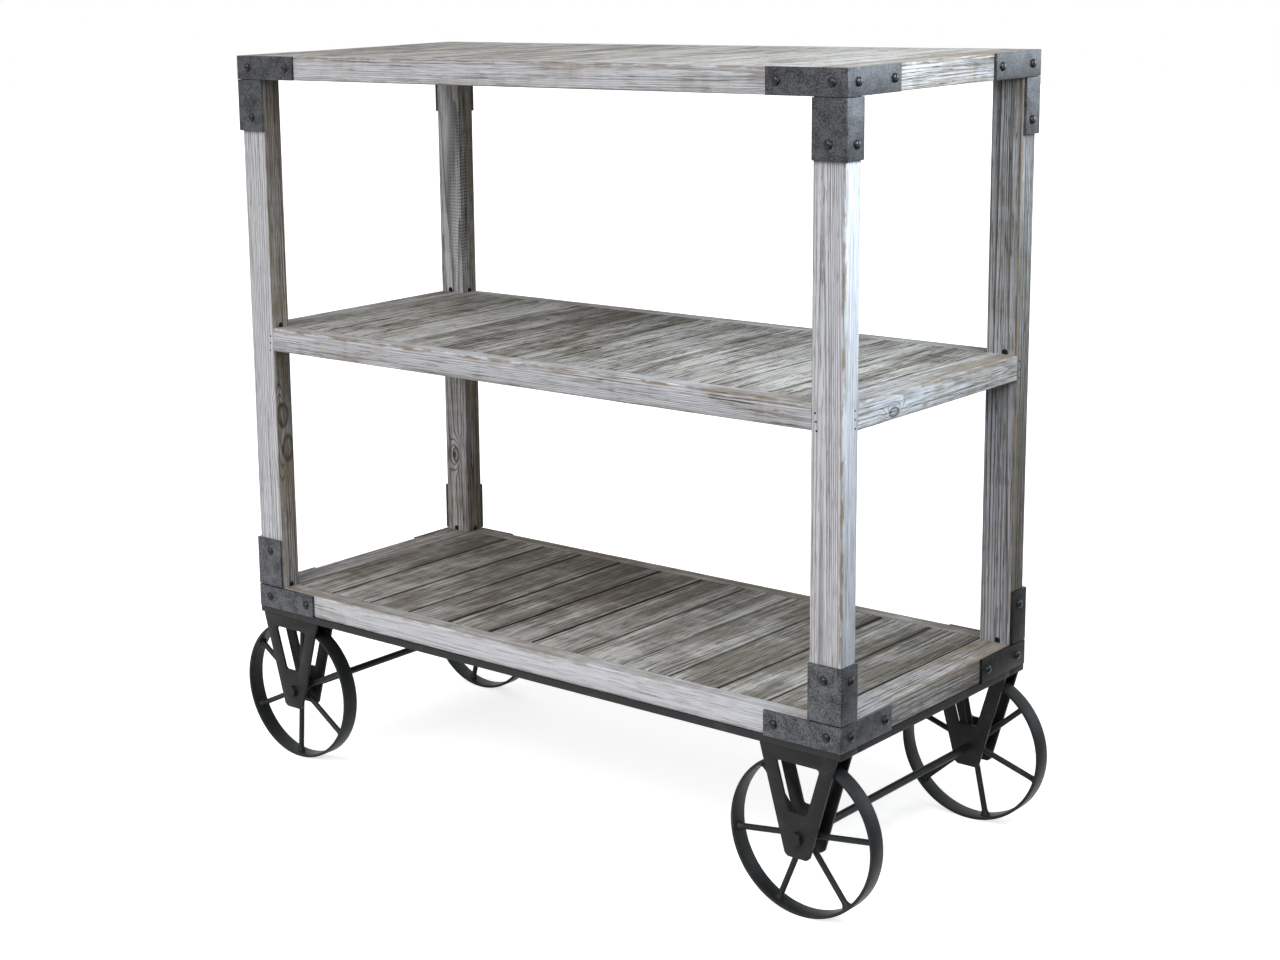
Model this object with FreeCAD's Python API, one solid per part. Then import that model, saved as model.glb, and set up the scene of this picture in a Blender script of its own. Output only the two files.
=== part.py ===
import FreeCAD, Part
import math
import os

# Three-shelf rolling serving cart in millimetres. X runs along the length, Y from the front to the back, Z up.
# The origin lies on the floor under the middle of the cart.

# Wooden shelves and posts
WOOD_LENGTH = 976.0
WOOD_DEPTH = 422.0
SHELF_HEIGHT = 32.0
BAY_HEIGHT = 343.0
POST_WIDTH = 43.0
POST_DEPTH = 30.0
LONG_RAIL_WIDTH = 25.0
LEDGE_WIDTH = 12.0
PLANK_COUNT = 12
PLANK_THICKNESS = 16.0
PLANK_GAP = 0.6
PLANK_CHAMFER = 1.8
WOOD_ARRIS = 1.5

# Steel corner brackets and their round-headed square-neck bolts
BRACKET_LEG = 109.0
BRACKET_DROP = 70.0
BRACKET_THICKNESS = 4.0
BRACKET_BEND_RADIUS = 3.0
SEAM_WIDTH = 1.0
SEAM_DEPTH = 0.8
BOLT_HEAD_DIAMETER = 11.5
BOLT_HEAD_HEIGHT = 3.6
BOLT_HEAD_SIDES = 7
BOLT_NECK = 5.0
BOLT_LENGTH = 11.0
BOLT_CLEARANCE = 0.1
BOLT_FROM_LEG_END = 14.0
BOLT_FROM_CORNER = 21.0
BOLT_FROM_DROP_END = 18.0

# Steel frame of flat bars under the bottom shelf
BAR_WIDTH = 36.0
BAR_HEIGHT = 9.0
BAR_PROUD = 3.0

# Forks: two plates on each wheel, welded under the frame
FORK_PLATE = 4.0
FORK_GAP = 28.0
FORK_TOP_WIDTH = 108.0
FORK_BOTTOM_WIDTH = 33.0
FORK_CORNER_CUT = 3.5
FORK_BELOW_AXLE = 25.0
FORK_WINDOW_TOP_WIDTH = 61.0
FORK_WINDOW_BOTTOM_WIDTH = 26.0
FORK_WINDOW_HEIGHT = 61.0
FORK_HEAD_HEIGHT = 17.0
FORK_HEIGHT_OVER_AXLE = 109.0

# Spoked wheels on two through axles
WHEEL_RADIUS = 100.0
WHEEL_FROM_END = 56.5
RIM_WIDTH = 24.0
RIM_THICKNESS = 4.0
SPOKE_COUNT = 6
SPOKE_DIAMETER = 7.5
SPOKE_SIDES = 8
HUB_DIAMETER = 24.0
HUB_SIDES = 16
AXLE_DIAMETER = 10.0
AXLE_RUNNING_CLEARANCE = 0.05
AXLE_SEAT_CLEARANCE = 0.1
AXLE_HEAD_ACROSS_FLATS = 16.0
AXLE_HEAD_HEIGHT = 7.0
HUB_END_CLEARANCE = 0.3
SPOKE_TURN = {"front_left": 26.0, "front_right": 8.0, "back_left": 15.0, "back_right": 42.0}

# Levels and half sizes that follow from the values above
half_length = WOOD_LENGTH / 2
half_depth = WOOD_DEPTH / 2
frame_underside = WHEEL_RADIUS + FORK_HEIGHT_OVER_AXLE
bottom_shelf = frame_underside + BAR_HEIGHT
middle_shelf = bottom_shelf + SHELF_HEIGHT + BAY_HEIGHT
top_shelf = middle_shelf + SHELF_HEIGHT + BAY_HEIGHT
post_bottom = bottom_shelf + SHELF_HEIGHT
post_length = top_shelf - post_bottom
post_mid_height = post_bottom + post_length / 2
deck_half_length = half_length - POST_WIDTH
deck_half_depth = half_depth - LONG_RAIL_WIDTH
bracket_x = half_length + BRACKET_THICKNESS
bracket_y = half_depth + BRACKET_THICKNESS
frame_x = half_length + BAR_PROUD
frame_y = half_depth + BAR_PROUD
wheel_x = half_length - WHEEL_FROM_END
wheel_y = frame_y - FORK_PLATE - FORK_GAP / 2

SHELVES = {"top": top_shelf, "middle": middle_shelf, "bottom": bottom_shelf}
CORNERS = {"front_left": (-1, -1), "front_right": (1, -1), "back_left": (-1, 1), "back_right": (1, 1)}
X_AXIS = FreeCAD.Vector(1, 0, 0)
Y_AXIS = FreeCAD.Vector(0, 1, 0)
Z_AXIS = FreeCAD.Vector(0, 0, 1)


def box(low, high):
    """Box between two opposite corners."""
    size = [high[i] - low[i] for i in range(3)]
    return Part.makeBox(size[0], size[1], size[2], FreeCAD.Vector(*low))


def prism(points, travel):
    """Closed outline of corner points, pushed along a vector."""
    corners = [FreeCAD.Vector(*p) for p in points]
    return Part.Face(Part.makePolygon(corners + corners[:1])).extrude(FreeCAD.Vector(*travel))


def rod(radius, start, end):
    """Round bar between two points."""
    start = FreeCAD.Vector(*start)
    along = FreeCAD.Vector(*end) - start
    return Part.makeCylinder(radius, along.Length, start, along)


def regular_outline(sides, radius, height):
    """Closed regular polygon about the Z axis."""
    angles = [2 * math.pi * i / sides for i in range(sides + 1)]
    return Part.makePolygon([FreeCAD.Vector(radius * math.cos(a), radius * math.sin(a), height) for a in angles])


def faceted_rod(sides, radius, start, end):
    """Straight bar with flat sides between two points."""
    start = FreeCAD.Vector(*start)
    along = FreeCAD.Vector(*end) - start
    bar = Part.Face(regular_outline(sides, radius, 0)).extrude(FreeCAD.Vector(0, 0, along.Length))
    bar.Placement = FreeCAD.Placement(start, FreeCAD.Rotation(Z_AXIS, along))
    return bar


def to_corner(shape, side_x, side_y):
    """Copy of a shape made for the back right corner, mirrored to another corner."""
    if side_x < 0:
        shape = shape.mirror(FreeCAD.Vector(), X_AXIS)
    if side_y < 0:
        shape = shape.mirror(FreeCAD.Vector(), Y_AXIS)
    return shape


def to_bottom(shape):
    """Copy of a shape made at the top shelf, mirrored to the bottom shelf."""
    return shape.mirror(FreeCAD.Vector(0, 0, post_mid_height), Z_AXIS)


def save(name, solids):
    """Write one node, a single solid or a group of separate solids."""
    shape = solids[0] if len(solids) == 1 else Part.Compound(solids)
    if not shape.isValid():
        raise ValueError(name + " is not a valid solid")
    shape.exportStep("parts/" + name + ".step")


def post():
    """Back right post: square-cut timber with broken long edges, between the top and bottom shelves."""
    low = (deck_half_length, half_depth - POST_DEPTH, post_bottom)
    high = (half_length, half_depth, post_bottom + post_length)
    timber = box(low, high)
    upright = [e for e in timber.Edges if abs(e.Length - post_length) < 0.001]
    return timber.makeChamfer(WOOD_ARRIS, upright)


def long_rail(shelf):
    """Back rail of a shelf: a rebate along its inner edge carries the ends of the planks."""
    top = shelf + SHELF_HEIGHT
    ledge = deck_half_depth - LEDGE_WIDTH
    outline = [
        (ledge, shelf),
        (half_depth - WOOD_ARRIS, shelf),
        (half_depth, shelf + WOOD_ARRIS),
        (half_depth, top - WOOD_ARRIS),
        (half_depth - WOOD_ARRIS, top),
        (deck_half_depth, top),
        (deck_half_depth, top - PLANK_THICKNESS),
        (ledge, top - PLANK_THICKNESS),
    ]
    return prism([(-deck_half_length, y, z) for y, z in outline], (2 * deck_half_length, 0, 0))


def end_rail(shelf, half_span):
    """Right end rail of a shelf, as wide as the post, with its outer edges broken."""
    top = shelf + SHELF_HEIGHT
    outline = [
        (deck_half_length, shelf),
        (half_length - WOOD_ARRIS, shelf),
        (half_length, shelf + WOOD_ARRIS),
        (half_length, top - WOOD_ARRIS),
        (half_length - WOOD_ARRIS, top),
        (deck_half_length, top),
    ]
    return prism([(x, -half_span, z) for x, z in outline], (0, 2 * half_span, 0))


def planks(shelf):
    """Boards of one deck, laid front to back, with bevelled edges that meet in V grooves."""
    top = shelf + SHELF_HEIGHT
    bottom = top - PLANK_THICKNESS
    pitch = 2 * deck_half_length / PLANK_COUNT
    boards = []
    for i in range(PLANK_COUNT):
        left = -deck_half_length + i * pitch + PLANK_GAP / 2
        right = left + pitch - PLANK_GAP
        outline = [
            (left, bottom),
            (right, bottom),
            (right, top - PLANK_CHAMFER),
            (right - PLANK_CHAMFER, top),
            (left + PLANK_CHAMFER, top),
            (left, top - PLANK_CHAMFER),
        ]
        boards.append(prism([(x, -deck_half_depth, z) for x, z in outline], (0, 2 * deck_half_depth, 0)))
    return boards


def folded_angle(leg_x, leg_y, low, high):
    """Steel strip folded round the back right corner, with a round outer bend."""
    x, y, t, r = bracket_x, bracket_y, BRACKET_THICKNESS, BRACKET_BEND_RADIUS
    bend_mid = r * (1 - math.sqrt(0.5))
    points = [
        FreeCAD.Vector(x - leg_x, y, low),
        FreeCAD.Vector(x - r, y, low),
        FreeCAD.Vector(x, y - r, low),
        FreeCAD.Vector(x, y - leg_y, low),
        FreeCAD.Vector(x - t, y - leg_y, low),
        FreeCAD.Vector(x - t, y - t, low),
        FreeCAD.Vector(x - leg_x, y - t, low),
    ]
    edges = [Part.makeLine(points[i], points[(i + 1) % len(points)]) for i in range(len(points))]
    edges[1] = Part.Arc(points[1], FreeCAD.Vector(x - bend_mid, y - bend_mid, low), points[2]).toShape()
    return Part.Face(Part.Wire(edges)).extrude(FreeCAD.Vector(0, 0, high - low))


def bolt_places():
    """Seats of the bolts of the top back right bracket: a point on the steel face and the way out of it."""
    band_z = top_shelf + SHELF_HEIGHT / 2
    drop_z = top_shelf - BRACKET_DROP + BOLT_FROM_DROP_END
    post_mid_x = half_length - POST_WIDTH / 2
    post_mid_y = half_depth - POST_DEPTH / 2
    near_end_x = bracket_x - BRACKET_LEG + BOLT_FROM_LEG_END
    near_end_y = bracket_y - BRACKET_LEG + BOLT_FROM_LEG_END
    on_back = [
        (near_end_x, band_z),
        (bracket_x - BOLT_FROM_CORNER, band_z),
        (post_mid_x, drop_z),
    ]
    on_end = [
        (near_end_y, band_z),
        (bracket_y - BOLT_FROM_CORNER, band_z),
        (post_mid_y, drop_z),
    ]
    places = [(FreeCAD.Vector(x, bracket_y, z), Y_AXIS) for x, z in on_back]
    return places + [(FreeCAD.Vector(bracket_x, y, z), X_AXIS) for y, z in on_end]


def bolt_neck(seat, out, clearance):
    """Square shank of a bolt from its seat into the wood, or its hole where a clearance is given."""
    half = BOLT_NECK / 2 + clearance
    neck = Part.makeBox(2 * half, 2 * half, BOLT_LENGTH + clearance, FreeCAD.Vector(-half, -half, 0))
    neck.Placement = FreeCAD.Placement(seat, FreeCAD.Rotation(Z_AXIS, -out))
    return neck


def bolt(seat, out):
    """Bolt with a low round head, in facets, on a square shank."""
    head_radius = BOLT_HEAD_DIAMETER / 2
    ball_radius = (head_radius ** 2 + BOLT_HEAD_HEIGHT ** 2) / (2 * BOLT_HEAD_HEIGHT)
    outlines = []
    for share in (0, 0.5, 0.9):
        height = share * BOLT_HEAD_HEIGHT
        radius = math.sqrt(ball_radius ** 2 - (ball_radius - BOLT_HEAD_HEIGHT + height) ** 2)
        outlines.append(regular_outline(BOLT_HEAD_SIDES, radius, height))
    facets = [Part.Face(outlines[0]), Part.Face(outlines[-1])]
    for lower, upper in zip(outlines, outlines[1:]):
        for i in range(BOLT_HEAD_SIDES):
            a, b = lower.OrderedVertexes[i].Point, lower.OrderedVertexes[(i + 1) % BOLT_HEAD_SIDES].Point
            c, d = upper.OrderedVertexes[(i + 1) % BOLT_HEAD_SIDES].Point, upper.OrderedVertexes[i].Point
            facets.append(Part.Face(Part.makePolygon([a, b, c, d, a])))
    head = Part.Solid(Part.Shell(facets))
    head.Placement = FreeCAD.Placement(seat, FreeCAD.Rotation(Z_AXIS, out))
    return head.fuse(bolt_neck(seat, out, 0)).removeSplitter().Solids[0]


def bracket():
    """Top back right bracket: a band round the shelf edge, welded over an angle that drops down the post."""
    top = top_shelf + SHELF_HEIGHT
    angle_x = POST_WIDTH + BRACKET_THICKNESS
    angle_y = POST_DEPTH + BRACKET_THICKNESS
    band = folded_angle(BRACKET_LEG, BRACKET_LEG, top_shelf, top)
    drop = folded_angle(angle_x, angle_y, top_shelf - BRACKET_DROP, top_shelf)
    steel = band.fuse(drop).removeSplitter()
    seam_low = top_shelf - SEAM_WIDTH
    seams = [
        box((bracket_x - angle_x, bracket_y - SEAM_DEPTH, seam_low), (bracket_x, bracket_y, top_shelf)),
        box((bracket_x - SEAM_DEPTH, bracket_y - angle_y, seam_low), (bracket_x, bracket_y, top_shelf)),
    ]
    return steel.cut(seams + [bolt_neck(seat, out, BOLT_CLEARANCE) for seat, out in bolt_places()]).Solids[0]


def fork_plate(centre_x, low_y):
    """Plate of a fork: a tapered V with a window, its lower corners cut off, bored for the axle."""
    top = frame_underside
    bottom = WHEEL_RADIUS - FORK_BELOW_AXLE
    half_top = FORK_TOP_WIDTH / 2
    half_bottom = FORK_BOTTOM_WIDTH / 2
    taper = (half_top - half_bottom) / (top - bottom)
    half_at_cut = half_bottom + taper * FORK_CORNER_CUT
    right = [(half_top, top), (half_at_cut, bottom + FORK_CORNER_CUT), (half_bottom - FORK_CORNER_CUT, bottom)]
    outline = right + [(-x, z) for x, z in reversed(right)]
    window_top = top - FORK_HEAD_HEIGHT
    window_right = [
        (FORK_WINDOW_TOP_WIDTH / 2, window_top),
        (FORK_WINDOW_BOTTOM_WIDTH / 2, window_top - FORK_WINDOW_HEIGHT),
    ]
    window = window_right + [(-x, z) for x, z in reversed(window_right)]
    through = (0, FORK_PLATE, 0)
    plate = prism([(centre_x + x, low_y, z) for x, z in outline], through)
    opening = prism([(centre_x + x, low_y, z) for x, z in window], through)
    hole_radius = AXLE_DIAMETER / 2 + AXLE_SEAT_CLEARANCE
    hole = rod(hole_radius, (centre_x, low_y, WHEEL_RADIUS), (centre_x, low_y + FORK_PLATE, WHEEL_RADIUS))
    return plate.cut([opening, hole]).Solids[0]


def ring(outer_radius, inner_radius, centre, width):
    """Round ring about an axis along Y, centred on a point."""
    low = (centre[0], centre[1] - width / 2, centre[2])
    high = (centre[0], centre[1] + width / 2, centre[2])
    return rod(outer_radius, low, high).cut(rod(inner_radius, low, high))


def rim(centre):
    """Flat steel band of a wheel."""
    return ring(WHEEL_RADIUS, WHEEL_RADIUS - RIM_THICKNESS, centre, RIM_WIDTH)


def spokes(centre, turn):
    """Round spokes of a wheel, in facets, from the hub to the inside of the rim."""
    spoke_radius = SPOKE_DIAMETER / 2
    foot = HUB_DIAMETER / 2
    tip = math.sqrt((WHEEL_RADIUS - RIM_THICKNESS) ** 2 - spoke_radius ** 2)
    bars = []
    for i in range(SPOKE_COUNT):
        angle = math.radians(turn + i * 360 / SPOKE_COUNT)
        way = FreeCAD.Vector(math.cos(angle), 0, math.sin(angle))
        middle = FreeCAD.Vector(*centre)
        bars.append(faceted_rod(SPOKE_SIDES, spoke_radius, middle + way * foot, middle + way * tip))
    return bars


def hub(centre):
    """Sleeve that runs on the axle between the plates of its fork."""
    half = FORK_GAP / 2 - HUB_END_CLEARANCE
    low = (centre[0], centre[1] - half, centre[2])
    high = (centre[0], centre[1] + half, centre[2])
    bore = rod(AXLE_DIAMETER / 2 + AXLE_RUNNING_CLEARANCE, low, high)
    return faceted_rod(HUB_SIDES, HUB_DIAMETER / 2, low, high).cut(bore).Solids[0]


def axle_head(side_x, side_y):
    """Hexagon head on the end of an axle, tight against the outer fork plate."""
    corner_radius = AXLE_HEAD_ACROSS_FLATS / 2 / math.cos(math.pi / 6)
    seat = (side_x * wheel_x, side_y * frame_y, WHEEL_RADIUS)
    tip = (side_x * wheel_x, side_y * (frame_y + AXLE_HEAD_HEIGHT), WHEEL_RADIUS)
    return faceted_rod(6, corner_radius, seat, tip)


os.makedirs("parts", exist_ok=True)

# Bolts and the holes that they need in the wood, at the top and mirrored to the bottom
top_bolts = []
top_holes = []
for side_x, side_y in CORNERS.values():
    for seat, out in bolt_places():
        top_bolts.append(to_corner(bolt(seat, out), side_x, side_y))
        top_holes.append(to_corner(bolt_neck(seat, out, BOLT_CLEARANCE), side_x, side_y))
bottom_bolts = [to_bottom(piece) for piece in top_bolts]
bottom_holes = [to_bottom(piece) for piece in top_holes]
holes_at = {"top": top_holes, "middle": [], "bottom": bottom_holes}
save("top_bracket_bolts", top_bolts)
save("bottom_bracket_bolts", bottom_bolts)

# Corner posts and brackets
for name, (side_x, side_y) in CORNERS.items():
    timber = to_corner(post(), side_x, side_y).cut(top_holes + bottom_holes)
    save("post_" + name, timber.Solids)
    steel = to_corner(bracket(), side_x, side_y)
    save("top_bracket_" + name, [steel])
    save("bottom_bracket_" + name, [to_bottom(steel)])

# Shelves: rails all round, boards between them; the middle shelf's end rails fit between the posts
for name, shelf in SHELVES.items():
    half_span = half_depth - POST_DEPTH if name == "middle" else half_depth
    back = long_rail(shelf)
    right = end_rail(shelf, half_span)
    pieces = {
        "front_rail": back.mirror(FreeCAD.Vector(), Y_AXIS),
        "back_rail": back,
        "left_rail": right.mirror(FreeCAD.Vector(), X_AXIS),
        "right_rail": right,
    }
    for rail_name, rail in pieces.items():
        drilled = rail.cut(holes_at[name]) if holes_at[name] else rail
        save(name + "_" + rail_name, drilled.Solids)
    save(name + "_planks", planks(shelf))

# Steel frame under the bottom shelf
back_bar = box((-frame_x, frame_y - BAR_WIDTH, frame_underside), (frame_x, frame_y, bottom_shelf))
right_bar = box((frame_x - BAR_WIDTH, BAR_WIDTH - frame_y, frame_underside),
                (frame_x, frame_y - BAR_WIDTH, bottom_shelf))
save("frame_back_bar", [back_bar])
save("frame_front_bar", [back_bar.mirror(FreeCAD.Vector(), Y_AXIS)])
save("frame_right_bar", [right_bar])
save("frame_left_bar", [right_bar.mirror(FreeCAD.Vector(), X_AXIS)])

# Forks, axles and wheels
for name, (side_x, side_y) in CORNERS.items():
    centre = (side_x * wheel_x, side_y * wheel_y, WHEEL_RADIUS)
    plate_places = [centre[1] - FORK_GAP / 2 - FORK_PLATE, centre[1] + FORK_GAP / 2]
    save("fork_" + name, [fork_plate(centre[0], low_y) for low_y in plate_places])
    save("rim_" + name, [rim(centre)])
    save("spokes_" + name, spokes(centre, SPOKE_TURN[name]))
    save("hub_" + name, [hub(centre)])
for name, side_x in (("left", -1), ("right", 1)):
    x = side_x * wheel_x
    save(name + "_axle", [rod(AXLE_DIAMETER / 2, (x, -frame_y, WHEEL_RADIUS), (x, frame_y, WHEEL_RADIUS))])
save("axle_heads", [axle_head(side_x, side_y) for side_x, side_y in CORNERS.values()])
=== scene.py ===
import math

import bmesh
import bpy
from mathutils import Matrix, Vector, noise


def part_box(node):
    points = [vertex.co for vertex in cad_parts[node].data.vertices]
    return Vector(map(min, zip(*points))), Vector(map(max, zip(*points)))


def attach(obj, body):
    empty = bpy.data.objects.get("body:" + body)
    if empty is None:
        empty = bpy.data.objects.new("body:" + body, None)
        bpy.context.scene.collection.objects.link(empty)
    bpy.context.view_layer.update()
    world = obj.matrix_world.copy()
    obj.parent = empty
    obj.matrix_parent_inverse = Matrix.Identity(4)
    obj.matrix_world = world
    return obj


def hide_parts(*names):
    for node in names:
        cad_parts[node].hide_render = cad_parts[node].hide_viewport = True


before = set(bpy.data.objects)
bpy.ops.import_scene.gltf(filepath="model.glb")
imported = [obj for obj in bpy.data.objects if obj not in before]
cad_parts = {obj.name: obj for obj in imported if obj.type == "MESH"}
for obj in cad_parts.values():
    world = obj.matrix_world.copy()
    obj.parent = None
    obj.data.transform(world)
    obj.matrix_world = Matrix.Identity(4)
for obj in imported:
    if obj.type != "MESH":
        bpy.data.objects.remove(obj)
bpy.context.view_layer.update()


# Wheels: each is a flat steel band with six round spokes welded between it and a turned hub.
# Band and hub are turned from profiles with broken edges; each spoke is a round bar that swells
# into a small weld bead where it meets the band and the hub. Dark charcoal satin paint.
class Sock:
    """Output socket of a material's node; arithmetic on it makes Math nodes."""

    def __init__(self, tree, socket=None):
        self.tree = tree
        self.socket = socket

    def node(self, kind, settings, *values, out=None, **named):
        """New node of any kind: its settings first, then its inputs in order or by name."""
        node = self.tree.nodes.new("ShaderNode" + kind)
        for key, value in settings.items():
            setattr(node, key, value)
        shown = [s for s in node.inputs if s.enabled]
        pairs = list(zip(shown, values))
        pairs += [(node.inputs[key.replace("_", " ")], value) for key, value in named.items()]
        for socket, value in pairs:
            if isinstance(value, Sock):
                self.tree.links.new(value.socket, socket)
            elif value is not None:
                socket.default_value = (*value, 1) if socket.type == "RGBA" else value
        outputs = [s for s in node.outputs if s.enabled]
        return Sock(self.tree, node.outputs[out] if out else next(iter(outputs), None))

    def math(self, operation, a, b):
        """Math node of two values."""
        return self.node("Math", {"operation": operation}, a, b)

    def __add__(self, other):
        return self.math("ADD", self, other)

    def __radd__(self, other):
        return self.math("ADD", other, self)

    def __sub__(self, other):
        return self.math("SUBTRACT", self, other)

    def __rsub__(self, other):
        return self.math("SUBTRACT", other, self)

    def __mul__(self, other):
        return self.math("MULTIPLY", self, other)

    def __rmul__(self, other):
        return self.math("MULTIPLY", other, self)

    def spread(self, low, high, to_low=0.0, to_high=1.0):
        """This value with low to high spread smoothly over another range."""
        return self.node("MapRange", {"interpolation_type": "SMOOTHSTEP"}, self, low, high, to_low, to_high)

    def mix(self, a, b):
        """Colour a where this value is 0, b where it is 1."""
        return self.node("Mix", {"data_type": "RGBA"}, self, a, b)


def new_material(name):
    """Empty material, a socket to start from and the object's own coordinates."""
    mat = bpy.data.materials.new(name)
    mat.use_nodes = True
    mat.node_tree.nodes.clear()
    start = Sock(mat.node_tree)
    return mat, start, start.node("TexCoord", {}, out="Object")


def surface(start, height=None, depth=0.0002, **named):
    """Principled surface of a material, with an optional height for its bumps."""
    if height is not None:
        named["Normal"] = start.node("Bump", {}, Strength=1.0, Distance=depth, Height=height)
    shader = start.node("BsdfPrincipled", {}, **named)
    start.node("OutputMaterial", {}, shader)


def painted_steel(name, tone, light, roughness):
    """Satin paint on steel: a cloudy tone with rubbed lighter places and a faint unevenness."""
    mat, start, place = new_material(name)
    cloud = start.node("TexNoise", {}, place, Scale=38.0, Detail=5.0, Roughness=0.6)
    grit = start.node("TexNoise", {}, place, Scale=900.0, Detail=2.0)
    rubbed = cloud.spread(0.5, 0.75) * grit.spread(0.35, 0.7)
    surface(start, cloud * 0.7 + grit * 0.3, 0.00025, Base_Color=rubbed.mix(tone, light),
            Roughness=roughness + (cloud - 0.5) * 0.3, Metallic=0.25, Specular_IOR_Level=0.12)
    return mat


def finish_mesh(name, bm, mat, sharp=32):
    """Object from a bmesh, shaded smooth with sharp edges kept."""
    bmesh.ops.recalc_face_normals(bm, faces=bm.faces)
    mesh = bpy.data.meshes.new(name)
    bm.to_mesh(mesh)
    bm.free()
    mesh.shade_smooth()
    mesh.set_sharp_from_angle(angle=math.radians(sharp))
    mesh.materials.append(mat)
    obj = bpy.data.objects.new(name, mesh)
    bpy.context.scene.collection.objects.link(obj)
    return obj


def stand_for(obj, body, slot, *nodes):
    """The piece rides on a body and stands for CAD nodes, which are hidden; the slot is not used."""
    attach(obj, body)
    if nodes:
        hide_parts(*nodes)


def lathe(bm, profile, matrix, steps, closed=True):
    """Ring of quads turned about local Z from (radius, height) points."""
    rings = []
    for i in range(steps):
        turn = Matrix.Rotation(2 * math.pi * i / steps, 4, "Z")
        rings.append([bm.verts.new(matrix @ turn @ Vector((r, 0, h))) for r, h in profile])
    count = len(profile) if closed else len(profile) - 1
    for i in range(steps):
        a, b = rings[i], rings[(i + 1) % steps]
        for j in range(count):
            k = (j + 1) % len(profile)
            bm.faces.new((a[j], b[j], b[k], a[k]))
    if not closed:
        bm.faces.new([r[-1] for r in rings])
        bm.faces.new([r[0] for r in reversed(rings)])


def toward(point, way):
    """Matrix that puts local Z at a point along a direction."""
    return Matrix.Translation(point) @ Vector(way).to_track_quat("Z", "Y").to_matrix().to_4x4()


def rounded_ring(outer, inner, half, edge):
    """Closed (radius, height) section of a flat ring with broken edges."""
    nick = edge * 0.3
    return [(outer, -half + edge), (outer, half - edge), (outer - nick, half - nick),
            (outer - edge, half), (inner + edge, half), (inner + nick, half - nick),
            (inner, half - edge), (inner, -half + edge), (inner + nick, -half + nick),
            (inner + edge, -half), (outer - edge, -half), (outer - nick, -half + nick)]


CORNERS = {"front_left": (-1, -1), "front_right": (1, -1), "back_left": (-1, 1), "back_right": (1, 1)}
RIM_OUTER, RIM_INNER, RIM_HALF_WIDTH, RIM_EDGE = 0.1, 0.096, 0.012, 0.0009
HUB_OUTER, HUB_BORE, HUB_HALF_LENGTH, HUB_EDGE = 0.012, 0.00505, 0.0137, 0.001
SPOKES = 6
SPOKE_RADIUS, SPOKE_START, SPOKE_END = 0.00375, 0.0155, 0.0885
HUB_BEAD = [(0.0050, 0.0112), (0.0052, 0.0125), (0.0043, 0.0142)]
RIM_BEAD = [(0.0044, 0.0918), (0.0058, 0.0942), (0.0062, 0.0958)]
BEAD_SPREAD = 0.0006
SPOKE_TURN = {"front_left": 26, "front_right": 8, "back_left": 15, "back_right": 42}
wheel_paint = painted_steel("wheel_paint", (0.022, 0.024, 0.025), (0.06, 0.065, 0.07), 0.45)
for corner in CORNERS:
    low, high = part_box("rim_" + corner)
    middle = (low + high) / 2
    across = toward(middle, (0, 1, 0))
    body = "wheel_" + corner

    bm = bmesh.new()
    lathe(bm, rounded_ring(RIM_OUTER, RIM_INNER, RIM_HALF_WIDTH, RIM_EDGE), across, 128)
    stand_for(finish_mesh("band_" + corner, bm, wheel_paint), body, "wheel_steel", "rim_" + corner)

    bm = bmesh.new()
    for i in range(SPOKES):
        angle = math.radians(SPOKE_TURN[corner] + 360 / SPOKES * i)
        spoke = toward(middle, (math.cos(angle), 0, math.sin(angle)))
        bead = BEAD_SPREAD * noise.noise(Vector((i, middle.x * 9, middle.y * 9)))
        bar = [(SPOKE_RADIUS, SPOKE_START), (SPOKE_RADIUS, SPOKE_END)]
        profile = HUB_BEAD + bar + [(radius + bead, height) for radius, height in RIM_BEAD]
        lathe(bm, profile, spoke, 18, closed=False)
    stand_for(finish_mesh("spoke_bars_" + corner, bm, wheel_paint), body, "wheel_steel", "spokes_" + corner)

    bm = bmesh.new()
    lathe(bm, rounded_ring(HUB_OUTER, HUB_BORE, HUB_HALF_LENGTH, HUB_EDGE), across, 40)
    stand_for(finish_mesh("sleeve_" + corner, bm, wheel_paint), body, "wheel_steel", "hub_" + corner)


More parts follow.
